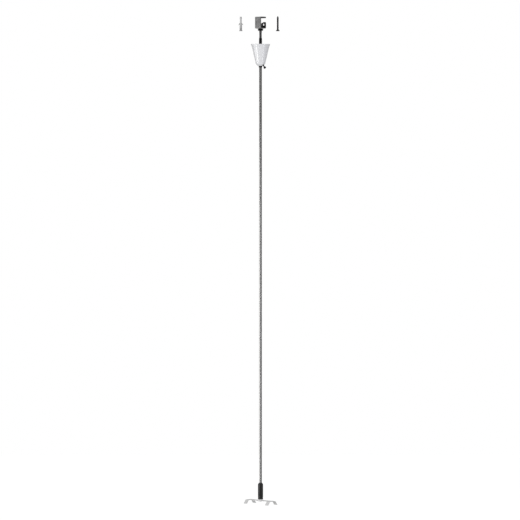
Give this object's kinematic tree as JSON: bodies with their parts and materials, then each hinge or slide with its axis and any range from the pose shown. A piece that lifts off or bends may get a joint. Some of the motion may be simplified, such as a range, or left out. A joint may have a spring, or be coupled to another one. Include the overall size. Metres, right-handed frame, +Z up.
{
  "type": "rigid rod ceiling suspension",
  "caption": "Long steel pole hung from a folded ceiling bracket, with a white cone canopy near the top and a black coupling with a four-claw track clip at the foot.",
  "frame": {"origin": "centre of the ceiling screw hole on the flat top face of the ceiling bracket", "axes": "+Z up along the pole, +X to the right and -Y toward the viewer; the bracket and the clip are turned 45 degrees about Z"},
  "size_m": [0.0888, 0.0738, 1.0542],
  "materials": {
    "galvanised_sheet": "galvanised folded steel sheet with a faint spangle",
    "turned_steel": "turned and threaded steel",
    "black_hardware": "black oxide steel",
    "pole_steel": "satin drawn steel tube",
    "white_canopy": "glossy white powder coat",
    "black_plastic": "moulded black plastic",
    "black_coating": "satin black coat on turned metal",
    "white_plastic": "white nylon",
    "white_sheet": "white coated spring sheet",
    "grey_plastic": "moulded grey nylon"
  },
  "bodies": {
    "ceiling": {"ceiling_bracket": "galvanised_sheet", "ball_seat": "black_plastic"},
    "hanger": {"hanger_stud": "black_hardware", "lock_nut": "black_hardware"},
    "pole": {"pole_collar": "black_hardware", "upper_spigot": "turned_steel", "pole": "pole_steel", "lower_spigot": "turned_steel"},
    "canopy": {"canopy_shell": "white_canopy", "canopy_bush": "black_plastic"},
    "canopy_screw": {"canopy_screw": "black_hardware"},
    "coupling": {"coupling_sleeve": "black_coating", "sleeve_ring": "black_coating", "clip_screw": "galvanised_sheet"},
    "clip": {"clip_washer": "white_plastic", "track_clip": "white_sheet"},
    "wall_plug": {"wall_plug": "grey_plastic"},
    "ceiling_screw": {"ceiling_screw": "black_hardware"}
  },
  "joints": [
    {"name": "pole_swing", "type": "hinge", "parent": "ceiling", "child": "hanger", "pos_m": [0, 0, -0.0193], "axis": [0, 1, 0], "range_deg": [-5, 5]},
    {"name": "pole_turn", "type": "hinge", "parent": "hanger", "child": "pole", "pos_m": [0, 0, -0.05], "axis": [0, 0, 1], "continuous": true},
    {"name": "canopy_slide", "type": "slide", "parent": "pole", "child": "canopy", "axis": [0, 0, 1], "range_m": [-0.88, 0.058]},
    {"name": "canopy_screw_drive", "type": "slide", "parent": "canopy", "child": "canopy_screw", "axis": [-0.4731, 0.5255, 0.7071], "range_m": [0, 0.0052]},
    {"name": "sleeve_turn", "type": "hinge", "parent": "pole", "child": "coupling", "pos_m": [0, 0, -1.02], "axis": [0, 0, 1], "continuous": true},
    {"name": "clip_swivel", "type": "hinge", "parent": "coupling", "child": "clip", "pos_m": [0, 0, -1.0442], "axis": [0, 0, 1], "continuous": true},
    {"name": "plug_lift", "type": "slide", "parent": "ceiling", "child": "wall_plug", "axis": [0, 0, 1], "range_m": [0, 0.03]},
    {"name": "screw_lift", "type": "slide", "parent": "ceiling", "child": "ceiling_screw", "axis": [0, 0, 1], "range_m": [0, 0.03]}
  ]
}
